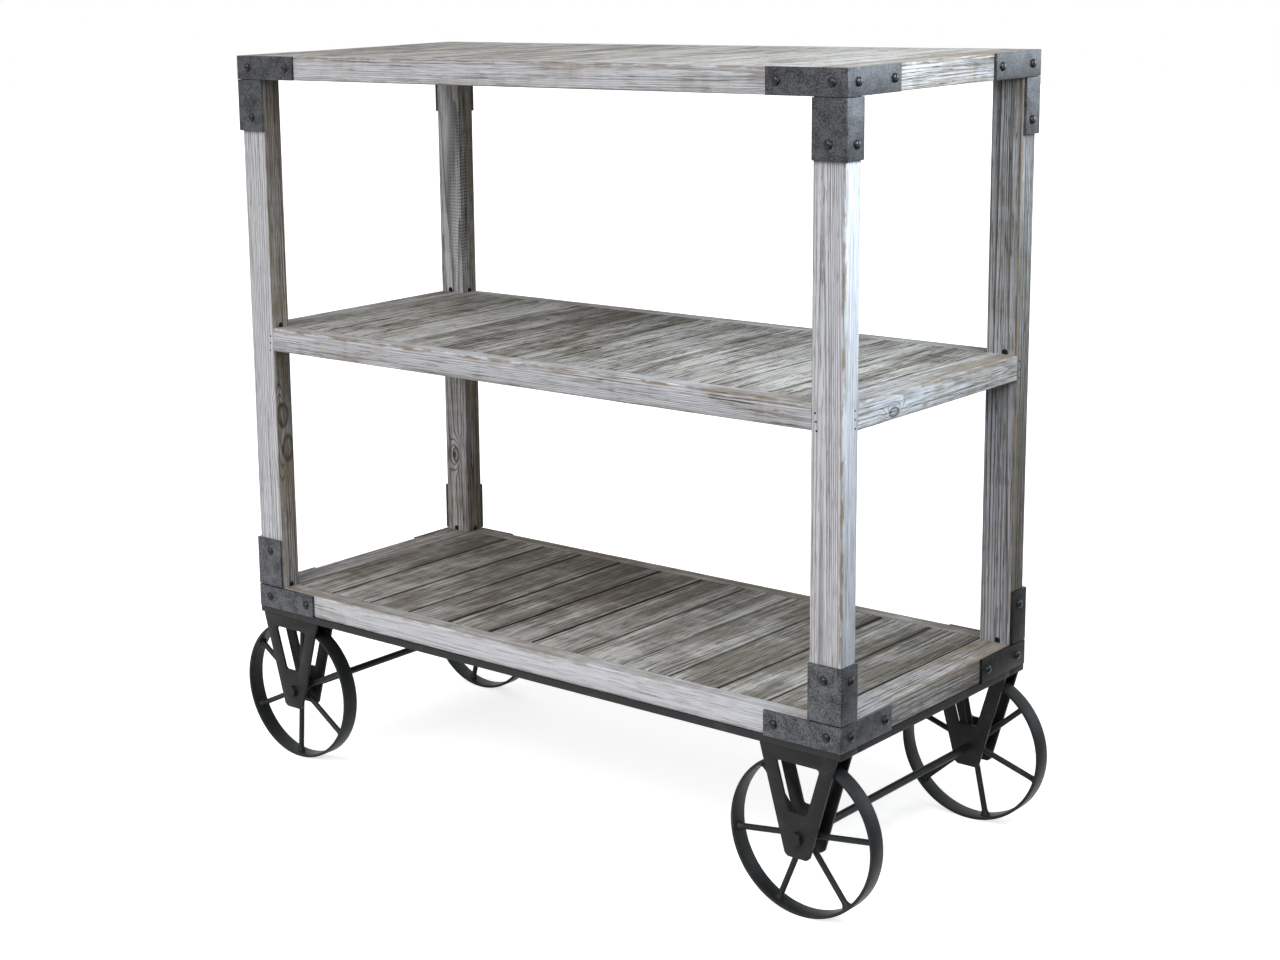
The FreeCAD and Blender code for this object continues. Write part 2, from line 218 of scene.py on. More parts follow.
# Axles: two round bars, each through a front and a back wheel, with a hexagon head at both ends.
# The heads have the turned chamfer of a bolt head and sit on the outer fork plates. Charcoal paint.
axle_paint = painted_steel("axle_paint", (0.02, 0.02, 0.02), (0.055, 0.057, 0.06), 0.42)
AXLE_RADIUS, AXLE_END_RADIUS, AXLE_CHAMFER = 0.005, 0.0044, 0.0006
HEAD_HALF, HEAD_TURN, HEAD_STEPS = 0.008, 11, 24
HEAD_CORNER = HEAD_HALF / math.cos(math.pi / 6)
HEAD_RINGS = ((0.0076, 0.0), (HEAD_CORNER, 0.0006), (HEAD_CORNER, 0.0058), (0.0074, 0.007))
bm_heads = bmesh.new()
for side, end in (("left", -1), ("right", 1)):
    low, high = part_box(side + "_axle")
    middle = (low + high) / 2
    half = (high.y - low.y) / 2
    bm = bmesh.new()
    profile = [(AXLE_END_RADIUS, -half), (AXLE_RADIUS, AXLE_CHAMFER - half),
               (AXLE_RADIUS, half - AXLE_CHAMFER), (AXLE_END_RADIUS, half)]
    lathe(bm, profile, toward(middle, (0, 1, 0)), 32, closed=False)
    stand_for(finish_mesh(side + "_axle_bar", bm, axle_paint), "cart", "axle_steel", side + "_axle")
    for way in (-1, 1):
        seat = toward((middle.x, way * half, middle.z), (0, way, 0))
        seat = seat @ Matrix.Rotation(math.radians(HEAD_TURN * end), 4, "Z")
        rings = []
        for radius, height in HEAD_RINGS:
            ring = []
            for i in range(HEAD_STEPS):
                angle = 2 * math.pi * i / HEAD_STEPS
                flat = HEAD_HALF / math.cos((angle + math.pi / 6) % (math.pi / 3) - math.pi / 6)
                reach = min(radius, flat)
                point = Vector((reach * math.cos(angle), reach * math.sin(angle), height))
                ring.append(bm_heads.verts.new(seat @ point))
            rings.append(ring)
        for a, b in zip(rings, rings[1:]):
            for i in range(HEAD_STEPS):
                bm_heads.faces.new((a[i], a[i - 1], b[i - 1], b[i]))
        bm_heads.faces.new(rings[0])
        bm_heads.faces.new(rings[-1])
stand_for(finish_mesh("axle_hexagons", bm_heads, axle_paint, 20), "cart", "axle_steel", "axle_heads")


# Forks: two tapered plates on each wheel, with a window and cut lower corners, welded under the frame.
# Flame-cut from plate: outline and window are filled curves with a small rounded edge, and an uneven weld
# bead runs along the top of each plate. Near-black satin paint.
fork_paint = painted_steel("fork_paint", (0.021, 0.021, 0.02), (0.05, 0.052, 0.054), 0.45)


def rounded_outline(points, steps=6):
    """Closed outline whose corners, given with radii, are rounded."""
    rounded = []
    for i, (x, z, radius) in enumerate(points):
        here = Vector((x, z))
        before = (Vector(points[i - 1][:2]) - here).normalized()
        after = (Vector(points[(i + 1) % len(points)][:2]) - here).normalized()
        cut = radius / math.tan(before.angle(after) / 2)
        start, end = here + before * cut, here + after * cut
        for k in range(steps + 1):
            t = k / steps
            rounded.append(start * (1 - t) ** 2 + here * 2 * t * (1 - t) + end * t ** 2)
    return rounded


def cut_plate(name, outlines, matrix, half, edge, mat):
    """Flat plate with holes: closed outlines filled, thickened and given a rounded edge."""
    curve = bpy.data.curves.new(name, "CURVE")
    curve.dimensions = "2D"
    curve.fill_mode = "BOTH"
    curve.extrude = half - edge
    curve.bevel_depth = edge
    curve.bevel_resolution = 1
    curve.offset = -edge
    for outline in outlines:
        spline = curve.splines.new("POLY")
        spline.points.add(len(outline) - 1)
        for point, place in zip(spline.points, outline):
            point.co = (place.x, place.y, 0, 1)
        spline.use_cyclic_u = True
    scratch = bpy.data.objects.new(name, curve)
    bpy.context.scene.collection.objects.link(scratch)
    bpy.context.view_layer.update()
    bm = bmesh.new()
    bm.from_mesh(scratch.to_mesh())
    bpy.data.objects.remove(scratch)
    bpy.data.curves.remove(curve)
    bmesh.ops.remove_doubles(bm, verts=bm.verts, dist=0.00002)
    bmesh.ops.transform(bm, matrix=matrix, verts=bm.verts)
    return finish_mesh(name, bm, mat)


def weld_bead(bm, start, end, radius, seed, step=0.0022, sides=8):
    """Uneven round bead between two points, thinner at its ends."""
    start, end = Vector(start), Vector(end)
    count = max(8, int((end - start).length / step))
    frame_at = toward((0, 0, 0), end - start)
    rings = []
    for i in range(count + 1):
        t = i / count
        swell = radius * (1 + 0.35 * noise.noise(Vector((t * count * 0.45, seed, 0))))
        swell *= min(1.0, 0.35 + 6 * min(t, 1 - t))
        centre = start.lerp(end, t)
        ring = []
        for k in range(sides):
            angle = 2 * math.pi * k / sides
            point = Vector((swell * math.cos(angle), swell * math.sin(angle), 0))
            ring.append(bm.verts.new(centre + frame_at @ point))
        rings.append(ring)
    for a, b in zip(rings, rings[1:]):
        for i in range(sides):
            bm.faces.new((a[i], a[i - 1], b[i - 1], b[i]))
    bm.faces.new(rings[0])
    bm.faces.new(rings[-1])


PLATE_HALF, PLATE_EDGE = 0.002, 0.0005
TOP_HALF, CUT_HALF, FOOT_HALF, CUT_HEIGHT = 0.054, 0.0175, 0.013, 0.0035
WINDOW_TOP_HALF, WINDOW_TOP_DROP = 0.0305, 0.017
WINDOW_FOOT_HALF, WINDOW_FOOT_DROP = 0.013, 0.078
TOP_ROUNDING, ROUNDING = 0.0008, 0.004
WELD_HALF, WELD_RADIUS, WELD_INSET = 0.052, 0.0017, 0.0042
for corner in CORNERS:
    low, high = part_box("fork_" + corner)
    centre_x = (low.x + high.x) / 2
    top, bottom = high.z, low.z
    right = [(TOP_HALF, top, TOP_ROUNDING), (CUT_HALF, bottom + CUT_HEIGHT, ROUNDING),
             (FOOT_HALF, bottom, ROUNDING)]
    outline = rounded_outline(right + [(-x, z, r) for x, z, r in reversed(right)])
    window_right = [(WINDOW_TOP_HALF, top - WINDOW_TOP_DROP, ROUNDING),
                    (WINDOW_FOOT_HALF, top - WINDOW_FOOT_DROP, ROUNDING)]
    window = rounded_outline(window_right + [(-x, z, r) for x, z, r in reversed(window_right)])
    upright = Matrix(((1, 0, 0, centre_x), (0, 0, -1, 0), (0, 1, 0, 0), (0, 0, 0, 1)))
    for part, y in (("front", low.y + PLATE_HALF), ("back", high.y - PLATE_HALF)):
        plate = cut_plate("fork_plate_%s_%s" % (corner, part), [outline, window],
                          Matrix.Translation((0, y, 0)) @ upright, PLATE_HALF, PLATE_EDGE, fork_paint)
        stand_for(plate, "cart", "frame_steel", *(["fork_" + corner] if part == "front" else []))
    bm = bmesh.new()
    for y in (low.y + WELD_INSET, high.y - WELD_INSET):
        weld_bead(bm, (centre_x - WELD_HALF, y, top), (centre_x + WELD_HALF, y, top), WELD_RADIUS,
                  centre_x * 30 + y * 90)
    stand_for(finish_mesh("fork_welds_" + corner, bm, fork_paint, 60), "cart", "frame_steel")


# Frame: flat steel bars round the underside of the bottom shelf, butt-welded at the corners.
# Rolled bar with softly rounded edges and a slightly uneven face; hexagon screws from below. Charcoal paint.
frame_paint = painted_steel("frame_paint", (0.03, 0.031, 0.031), (0.07, 0.073, 0.075), 0.44)


def rolled_bar(name, low, high, edge, mat, step=0.02, waver=0.00012):
    """Box with rounded edges, divided along its length so that its faces can waver a little."""
    bm = bmesh.new()
    bmesh.ops.create_cube(bm, size=1)
    size = high - low
    placed = Matrix.Translation((low + high) / 2) @ Matrix.Diagonal((*size, 1))
    bmesh.ops.transform(bm, matrix=placed, verts=bm.verts)
    bmesh.ops.bevel(bm, geom=bm.edges[:], offset=edge, segments=2, affect="EDGES", profile=0.6)
    along = max(range(3), key=lambda i: size[i])
    normal = Vector([1.0 if i == along else 0.0 for i in range(3)])
    count = int(size[along] / step)
    for k in range(1, count):
        point = low + normal * size[along] * k / count
        whole = bm.verts[:] + bm.edges[:] + bm.faces[:]
        bmesh.ops.bisect_plane(bm, geom=whole, plane_co=point, plane_no=normal)
    for v in bm.verts:
        wobble = noise.noise_vector(v.co * 22) * waver
        wobble[along] = 0
        v.co += wobble
    return finish_mesh(name, bm, mat)


BAR_EDGE = 0.0009
SCREWS, FIRST_SCREW_X, SCREW_PITCH, SCREW_Y = 5, -0.3235, 0.16175, 0.196
FLANGE, SCREW_HEAD = 0.0062, 0.0052
screw_profile = [(FLANGE, 0.0), (FLANGE, 0.0012), (SCREW_HEAD, 0.0014), (SCREW_HEAD, 0.0036),
                 (0.0044, 0.0042)]
for side in ("front", "back", "left", "right"):
    node = "frame_%s_bar" % side
    low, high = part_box(node)
    stand_for(rolled_bar(node + "_steel", low, high, BAR_EDGE, frame_paint), "cart", "frame_steel", node)
low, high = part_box("frame_front_bar")
bm = bmesh.new()
for way in (-1, 1):
    for i in range(SCREWS):
        seat = toward((FIRST_SCREW_X + SCREW_PITCH * i, way * SCREW_Y, low.z), (0, 0, -1))
        lathe(bm, screw_profile, seat, 6, closed=False)
stand_for(finish_mesh("frame_screw_heads", bm, axle_paint, 20), "cart", "frame_steel")


# Shelves: front and back rails with a rebate, end rails as wide as the posts, twelve boards front to back.
# Sawn pine, wire-brushed and whitewashed, with worn arrises, the boards whitest on the top shelf. How bare of
# wash each side is stands for bare wood and also for painted shade and painted light, set per piece and
# changing along it. Each piece is a section with rounded, wavering corners swept along its length; the boards
# meet in dark V grooves.
def wood(name, along, tones, cover, uneven, grain, needles, dirty=False, knots=(), saw=()):
    """Whitewashed wood with its grain along one axis, in tones for wash, bare wood, dark grain and worn
    edges; knots and saw marks are places with a radius."""
    white, bare, dark, worn = tones
    mat, start, own = new_material(name)
    board = start.node("Attribute", {"attribute_name": "board"}, out="Fac")
    wear = start.node("Attribute", {"attribute_name": "wear"}, out="Fac")
    # The bare attribute stands for bare wood and also for painted shade and painted light.
    bare_and_shade = start.node("Attribute", {"attribute_name": "bare"}, out="Fac")
    shift = start.node("CombineXYZ", {}, board * 7.3, board * 3.1, board * 5.7)
    place = start.node("VectorMath", {"operation": "ADD"}, own, shift)

    def stretched(across, lengthwise, detail, twist=0.0):
        scale = [across] * 3
        scale["XYZ".index(along)] = lengthwise
        drawn = start.node("VectorMath", {"operation": "MULTIPLY"}, place, scale)
        return start.node("TexNoise", {}, drawn, Scale=1.0, Detail=detail, Roughness=0.6, Distortion=twist)

    fibre = stretched(1100.0, 12.0, 2.0)
    fine = stretched(330.0, 2.2, 3.0, 0.1)
    cloud = stretched(26.0, 6.0, 4.0)
    lap = stretched(14.0, 45.0, 2.0)
    rub = stretched(150.0, 30.0, 3.0)
    phase = stretched(20.0, 0.35, 0.5) * 34.0 + cloud * 0.25
    eye = 0.0
    chatter = 0.0
    sawn = 0.0

    def distance(point, narrow):
        offset = start.node("VectorMath", {"operation": "SUBTRACT"}, own, point)
        squeeze = [1.0, 1.0, 1.0]
        squeeze["XYZ".index(along)] = narrow
        offset = start.node("VectorMath", {"operation": "MULTIPLY"}, offset, squeeze)
        return start.node("VectorMath", {"operation": "LENGTH"}, offset, out="Value")

    for mark_at, radius in saw:
        step = start.node("SeparateXYZ", {}, own, out=along) + fine * 0.003 + cloud * 0.012
        ridge = start.node("Math", {"operation": "PINGPONG"}, step, 0.0024).spread(0.0008, 0.0018)
        within = distance(mark_at, 0.14).spread(radius, radius * 0.4)
        sawn = sawn + within
        chatter = chatter + ridge * within * fine.spread(0.35, 0.55, 0.3, 1.0)
    for knot_at, radius in knots:
        away = distance(knot_at, 0.55)
        phase = phase + away.spread(radius * 3, 0.0) * 3.0
        heart = away.spread(radius * 0.5, radius * 0.8, 0.3, 1.0)
        eye = eye + away.spread(radius * 1.15, radius * 0.9) * heart
    ring = start.node("Math", {"operation": "FRACT"}, phase)
    lines = ring.spread(0.5, 0.95) * ring.spread(1.0, 0.97) * cloud.spread(0.3, 0.6, 0.5, 1.0)
    paint = cover - bare_and_shade * 0.55 + sawn * 0.35
    paint = paint + (cloud - 0.5) * uneven + (lap - 0.5) * 0.5 + (fine - 0.5) * 0.8
    cracks = stretched(400.0, 6.0, 2.0).spread(0.57, 0.63) + stretched(640.0, 34.0, 1.5).spread(0.58, 0.64)
    dashes = cracks * paint.spread(0.95, 0.4, 0.45, 1.0)
    tone = paint.spread(0.0, 0.8).mix(bare, white)
    tone = (lines * (grain + bare_and_shade * 0.3) + eye * 0.8).mix(tone, dark)
    streaks = stretched(170.0, 2.6, 3.0, 0.2).spread(0.5, 0.62) * (bare_and_shade - 0.45)
    tone = (streaks * 0.8 + chatter * 0.6).mix(tone, dark)
    tone = (dashes * needles + fibre.spread(0.3, 0.65, 0.25, 0.0)).mix(tone, dark)
    rubbed = wear if dirty else wear * rub.spread(0.42, 0.58)
    tone = (rubbed * 0.9).mix(tone, worn)
    height = fibre * 0.4 + fine * 0.4 - lines * 0.5 - dashes * 0.6 - chatter * 0.6
    surface(start, height, 0.0008, Base_Color=tone,
            Roughness=0.6 if dirty else 0.85, Specular_IOR_Level=0.0 if dirty else 0.12)
    return mat


CORNER_WAVER = 0.35


def timber(bm, section, length, matrix, board, bare, worn, bare_and_shade_end, step=0.014, reach=0.004):
    """Swept section of (u, v, radius) corners along local Z. Its points record the wear of the corners, how
    bare of whitewash the side after each corner is, from start to end, which also carries painted shade and
    painted light, and a number of the board's own, so that no two boards have the same grain."""
    for name in ("wear", "bare", "board"):
        if name not in bm.verts.layers.float:
            bm.verts.layers.float.new(name)
    layers = [bm.verts.layers.float[n] for n in ("wear", "bare", "board")]
    count = max(2, int(length / step))
    rings = []
    for k in range(count + 1):
        w = length * k / count
        sides = [a + (b - a) * k / count for a, b in zip(bare, bare_and_shade_end)]
        ring = []
        for i, (u, v, radius) in enumerate(section):
            here = Vector((u, v))
            to_before = Vector(section[i - 1][:2]) - here
            to_after = Vector(section[(i + 1) % len(section)][:2]) - here
            slow = noise.noise(Vector((w * 38, i * 5.3, board * 11)))
            quick = noise.noise(Vector((w * 140, i * 3.1, board)))
            cut = radius * (1 + CORNER_WAVER * (slow + 0.6 * quick))
            before, after = to_before.normalized(), to_after.normalized()
            a, b = here + before * cut, here + after * cut
            side_a, side_b = sides[i - 1], sides[i]
            points = [(here + before * min(cut + reach, to_before.length * 0.47), 0.0, side_a)]
            for t in (0, 0.25, 0.5, 0.75, 1):
                curve = a * (1 - t) ** 2 + here * 2 * t * (1 - t) + b * t ** 2
                points.append((curve, worn[i], side_a * (1 - t) + side_b * t))
            points.append((here + after * min(cut + reach, to_after.length * 0.47), 0.0, side_b))
            for point, *values in points:
                vert = bm.verts.new(matrix @ Vector((point.x, point.y, w)))
                for layer, value in zip(layers, (*values, board)):
                    vert[layer] = value
                ring.append(vert)
        rings.append(ring)
    size = len(rings[0])
    for a, b in zip(rings, rings[1:]):
        for i in range(size):
            bm.faces.new((a[i], a[i - 1], b[i - 1], b[i]))
    bm.faces.new(rings[0])
    bm.faces.new(rings[-1])


def lying(origin, u, v, w):
    """Matrix whose local axes are the given directions."""
    return Matrix.Translation(origin) @ Matrix((u, v, w)).transposed().to_4x4()


PALE = ((0.64, 0.645, 0.68), (0.30, 0.255, 0.20), (0.085, 0.073, 0.058), (0.26, 0.20, 0.135))
end_wood = wood("end_wood", "Y", PALE, 0.76, 1.4, 0.33, 0.45, knots=[((0.488, -0.105, 0.602), 0.006)])
GREY = ((0.63, 0.615, 0.585), (0.245, 0.222, 0.19), (0.06, 0.054, 0.047), (0.025, 0.022, 0.02))
DECK_GRAIN = {"bottom": (0.25, 0.5), "middle": (0.45, 0.95), "top": (0.35, 0.6)}
# Bareness of the boards in four groups from left to right: bare wood and painted shade together.
DECK_BARE_AND_SHADE = {"bottom": (0.8, 0.92, 0.62, 0.9), "middle": (0.3, 0.77, 0.38, 0.32),
             "top": (0.35, 0.35, 0.3, 0.25)}
RAIL_GRAIN = {"bottom": (0.12, 0.2), "middle": (0.3, 0.4), "top": (0.36, 0.24)}
# Bareness of the rails' outer side and top at the left ends and, for front rails, the right ends: bare wood
# with painted shade and light.
RAIL_BARE_AND_SHADE = {"bottom": (-0.15, 0.9), "middle": (0.04, 0.5), "top": (0.12, 0.35)}
RAIL_RIGHT_BARE_AND_SHADE = {"bottom": (-0.4, 0.1), "middle": (0.08, 0.2), "top": (0.18, 0.35)}
RAIL_WORN = {"bottom": 0.5, "middle": 1.0, "top": 0.8}
GROOVE = {"bottom": 1.3, "middle": 0.7, "top": 0.5}
# Bareness of the end rails' outer side and top at the front and the back; the lower ones grow barer towards
# the back as painted shade.
END_FRONT_BARE_AND_SHADE = {"bottom": (0.7, 0.35), "middle": (0.42, 0.6), "top": (0.62, 0.85)}
END_BACK_BARE_AND_SHADE = {"bottom": (1.1, 1.1), "middle": (0.55, 0.7), "top": (0.62, 0.85)}
# Painted shade: the boards of the lower shelves are whiter at the front and barer, darker, at the back.
DECK_SHADE_TO_BACK = {"bottom": 0.2, "middle": 0.12, "top": 0.0}
RAIL_HEIGHT, RAIL_WIDTH, RAIL_TOP_WIDTH, END_WIDTH = 0.032, 0.037, 0.025, 0.043
BOARDS, BOARD_THICKNESS, BOARD_GAP, BOARD_ROUNDING = 12, 0.016, 0.0006, 0.0019
BOARD_SINK = 0.00035
OUTER_EDGE, INNER_EDGE, END_INNER_EDGE = 0.0022, 0.0006, 0.0008
REBATE_EDGE, BOARD_FOOT_EDGE = 0.0004, 0.0005
for level, shelf in enumerate(("bottom", "middle", "top")):
    rail_wood = wood(shelf + "_rail_wood", "X", PALE, 0.72, 1.4, *RAIL_GRAIN[shelf])
    for side, way in (("front", -1), ("back", 1)):
        node = "%s_%s_rail" % (shelf, side)
        low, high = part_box(node)
        outer = low.y if way < 0 else high.y
        bare_and_shade_right = RAIL_RIGHT_BARE_AND_SHADE if way < 0 else RAIL_BARE_AND_SHADE
        section = [(0, 0, OUTER_EDGE), (0, RAIL_HEIGHT, OUTER_EDGE),
                   (-RAIL_TOP_WIDTH, RAIL_HEIGHT, INNER_EDGE),
                   (-RAIL_TOP_WIDTH, BOARD_THICKNESS, REBATE_EDGE),
                   (-RAIL_WIDTH, BOARD_THICKNESS, REBATE_EDGE), (-RAIL_WIDTH, 0, INNER_EDGE)]
        bm = bmesh.new()
        timber(bm, section, high.x - low.x, lying((low.x, outer, low.z), (0, way, 0), (0, 0, 1), (1, 0, 0)),
               1.7 + level * 2.3 + way * 0.41, (*RAIL_BARE_AND_SHADE[shelf], 0.5, 0.5, 0.7, 0.6),
               (0.4, RAIL_WORN[shelf], 0.3, 0.3, 0.3, 0.3), (*bare_and_shade_right[shelf], 0.5, 0.5, 0.7, 0.6))
        stand_for(finish_mesh(node + "_wood", bm, rail_wood), "cart", "rail_wood", node)
    for side, way in (("left", -1), ("right", 1)):
        node = "%s_%s_rail" % (shelf, side)
        low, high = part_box(node)
        outer = low.x if way < 0 else high.x
        section = [(0, 0, OUTER_EDGE), (0, RAIL_HEIGHT, OUTER_EDGE),
                   (-END_WIDTH, RAIL_HEIGHT, END_INNER_EDGE), (-END_WIDTH, 0, INNER_EDGE)]
        bm = bmesh.new()
        timber(bm, section, high.y - low.y, lying((outer, low.y, low.z), (way, 0, 0), (0, 0, 1), (0, 1, 0)),
               5.2 + level * 1.9 + way * 0.63, (*END_FRONT_BARE_AND_SHADE[shelf], 0.6, 0.6), (0.4, 0.7, 0.3, 0.3),
               (*END_BACK_BARE_AND_SHADE[shelf], 0.6, 0.6))
        stand_for(finish_mesh(node + "_wood", bm, end_wood), "cart", "rail_wood", node)
    deck_wood = wood(shelf + "_deck_wood", "Y", GREY, 0.74, 2.0, *DECK_GRAIN[shelf], dirty=True)
    node = shelf + "_planks"
    low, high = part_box(node)
    pitch = (high.x - low.x + BOARD_GAP) / BOARDS
    half = pitch / 2 - BOARD_GAP / 2
    bm = bmesh.new()
    for i in range(BOARDS):
        top = BOARD_THICKNESS + BOARD_SINK * noise.noise(Vector((i * 3.7, level * 5.1, 2)))
        section = [(-half, 0, BOARD_FOOT_EDGE), (-half, top, BOARD_ROUNDING), (half, top, BOARD_ROUNDING),
                   (half, 0, BOARD_FOOT_EDGE)]
        centre = low.x - BOARD_GAP / 2 + (i + 0.5) * pitch
        groove = GROOVE[shelf] * (0.7 + 0.5 * noise.noise(Vector((i * 1.9, level * 2.7, 8))))
        bare = DECK_BARE_AND_SHADE[shelf][min(3, i // 3)] + 0.2 * noise.noise(Vector((i * 2.3, level * 7.7, 5)))
        timber(bm, section, high.y - low.y, lying((centre, low.y, low.z), (1, 0, 0), (0, 0, 1), (0, 1, 0)),
               8.1 + level * 13 + i * 1.37, [bare - DECK_SHADE_TO_BACK[shelf]] * 4, [groove] * 4,
               [bare + DECK_SHADE_TO_BACK[shelf]] * 4, step=0.02, reach=0.0008)
    stand_for(finish_mesh(node + "_wood", bm, deck_wood), "cart", "plank_wood", node)


# Posts: one at each corner between the bottom and the top shelf, of the same timber, mostly barer inside.
# The two on the left have knots, the back left one saw marks and the back right one a darker, greyer copy
# of the wood as painted shade. Pocket screws hold the inner sides to the shelf below, and nails hold the
# middle shelf from outside.
# Bareness of each post's front, right, back and left sides at the bottom and at the top: bare wood inside,
# and painted shade and light, such as the near post's right side whitening towards the top.
POST_BARE_AND_SHADE = {"front_left": (-0.25, 0.9, 0.7, 0.3), "front_right": (-0.25, -0.8, 0.7, 0.8),
             "back_left": (0.58, 1.0, 0.2, 0.3), "back_right": (-0.1, 1.15, 0.2, 0.8)}
POST_TOP_BARE_AND_SHADE = {"front_left": (-0.25, 1.0, 0.7, 0.3), "front_right": (0.05, -1.2, 0.7, 0.8),
                 "back_left": (0.05, 1.0, 0.2, 0.3), "back_right": (0.8, 0.4, 0.2, 0.8)}
POST_WORN = {"front_left": (0.3, 0.4, 0.2, 0.2), "front_right": (0.3, 1, 0.2, 0.2),
             "back_left": (0.2, 0.1, 0.2, 0.2), "back_right": (0.3, 0.9, 0.2, 0.2)}
POST_EDGE = 0.0012
KNOTS = [((-0.445, -0.199, 0.5), 0.010), ((-0.445, -0.192, 0.452), 0.011), ((-0.4685, 0.181, 0.37), 0.007)]
SAW_MARKS = [((-0.452, 0.181, 0.78), 0.026)]
WARM = (PALE[0], (0.30, 0.245, 0.175), *PALE[2:])
# Tones of a darker, greyer wash: painted shade for the back right post.
SHADED_POST_TONES = ((0.43, 0.435, 0.46), (0.19, 0.172, 0.145), *PALE[2:])
post_wood = wood("post_wood", "Z", WARM, 0.74, 1.0, 0.68, 0.5, knots=KNOTS, saw=SAW_MARKS)
post_wood_painted_shade = wood("post_wood_painted_shade", "Z", SHADED_POST_TONES, 0.74, 1.2, 1.0, 0.6)
for number, (corner, bare) in enumerate(POST_BARE_AND_SHADE.items()):
    node = "post_" + corner
    low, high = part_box(node)
    size = high - low
    section = [(0, 0, POST_EDGE), (size.x, 0, POST_EDGE), (size.x, size.y, POST_EDGE), (0, size.y, POST_EDGE)]
    bm = bmesh.new()
    timber(bm, section, size.z, lying(low, (1, 0, 0), (0, 1, 0), (0, 0, 1)),
           3.3 + number * 4.7, bare, POST_WORN[corner], POST_TOP_BARE_AND_SHADE[corner])
    # Painted shade: the back right post takes the darker, greyer copy of the wood.
    mat = post_wood_painted_shade if corner == "back_right" else post_wood
    stand_for(finish_mesh(node + "_wood", bm, mat), "cart", "rail_wood", node)

screw_steel = painted_steel("screw_steel", (0.012, 0.011, 0.01), (0.03, 0.028, 0.026), 0.6)
pocket = [(0.0043, -0.001), (0.0043, 0.0001), (0.0036, 0.0003), (0.0026, 0.0005), (0.001, 0.0006)]
nail = [(0.0013, -0.0006), (0.0013, 0.0001), (0.0009, 0.0003), (0.0003, 0.0003)]
POST_INNER_X, POST_OUTER_X, POST_INNER_Y, POST_OUTER_Y = 0.445, 0.488, 0.181, 0.211
POCKET_X, POCKET_Y, POCKET_HEIGHT = 0.4705, 0.196, 0.0025
SHELF_TOPS = (0.25, 0.625)
NAIL_HEIGHTS, NAIL_X, NAIL_Y, NAIL_END_RISE = (0.614, 0.604, 0.5935), 0.4505, 0.1878, 0.003
NAIL_DRIFT_X, NAIL_DRIFT_Y = 0.0009, 0.0005
bm = bmesh.new()
for side_x, side_y in CORNERS.values():
    for shelf_top in SHELF_TOPS:
        z = shelf_top + POCKET_HEIGHT
        on_side = toward((side_x * POST_INNER_X, side_y * POCKET_Y, z), (-side_x, 0, 0))
        on_face = toward((side_x * POCKET_X, side_y * POST_INNER_Y, z), (0, -side_y, 0))
        for seat in (on_side, on_face):
            lathe(bm, pocket, seat, 16, closed=False)
    for k, z in enumerate(NAIL_HEIGHTS):
        on_face = toward((side_x * (NAIL_X + NAIL_DRIFT_X * k), side_y * POST_OUTER_Y, z), (0, side_y, 0))
        end_y = side_y * (NAIL_Y - NAIL_DRIFT_Y * k)
        on_end = toward((side_x * POST_OUTER_X, end_y, z + NAIL_END_RISE), (side_x, 0, 0))
        for seat in (on_face, on_end):
            lathe(bm, nail, seat, 10, closed=False)
stand_for(finish_mesh("pocket_screws_and_nails", bm, screw_steel, 60), "cart", "bolt_black")


# Corner brackets: a folded steel band round the shelf edge and a folded angle on the post, welded together.
# Hot-galvanised and darkened, so the grey is mottled and speckled; three at the back have a darker copy of
# the steel as painted shade. Edges are rounded and a seam shows at the weld.
def galvanised(name, dark, light):
    """Dark mottled galvanised steel with fine light speckles."""
    mat, start, place = new_material(name)
    cloud = start.node("TexNoise", {}, place, Scale=55.0, Detail=6.0, Roughness=0.68)
    spangle = start.node("TexNoise", {}, place, Scale=480.0, Detail=3.0, Roughness=0.7)
    speck = start.node("TexVoronoi", {}, place, Scale=520.0)
    tone = (cloud * 0.4 + spangle * 0.6).spread(0.4, 0.6).mix(dark, light)
    tone = (speck.spread(0.24, 0.08) * spangle.spread(0.42, 0.6) * 0.7).mix(tone, (0.24, 0.245, 0.255))
    tone = (cloud.spread(0.42, 0.3) * spangle.spread(0.5, 0.4)).mix(tone, (0.014, 0.014, 0.015))
    surface(start, cloud * 0.3 + spangle * 0.7, 0.0005, Base_Color=tone, Metallic=0.8,
            Roughness=0.42 + (spangle - 0.5) * 0.4)
    return mat


MOTTLED = {"top": galvanised("bracket_mottled_top", (0.025, 0.0265, 0.03), (0.09, 0.0925, 0.1)),
           "bottom": galvanised("bracket_mottled_bottom", (0.032, 0.034, 0.038), (0.115, 0.119, 0.128))}
# A darker copy of the bracket steel: painted shade for the three brackets at the back listed below.
bracket_steel_painted_shade = galvanised("bracket_painted_shade", (0.011, 0.0115, 0.0125), (0.036, 0.0365, 0.038))
SHADED_BRACKETS = {"top_bracket_back_left", "bottom_bracket_back_left", "bottom_bracket_back_right"}
CART_HALF_X, CART_HALF_Y = 0.492, 0.215
STEEL, BEND_RADIUS, BEND_STEPS, BRACKET_EDGE = 0.004, 0.002, 6, 0.0008
BAND_LEG, ANGLE_LEG_X, ANGLE_LEG_Y = 0.109, 0.047, 0.034
TOP_SEAM, BOTTOM_SEAM = 0.0006, 0.0011


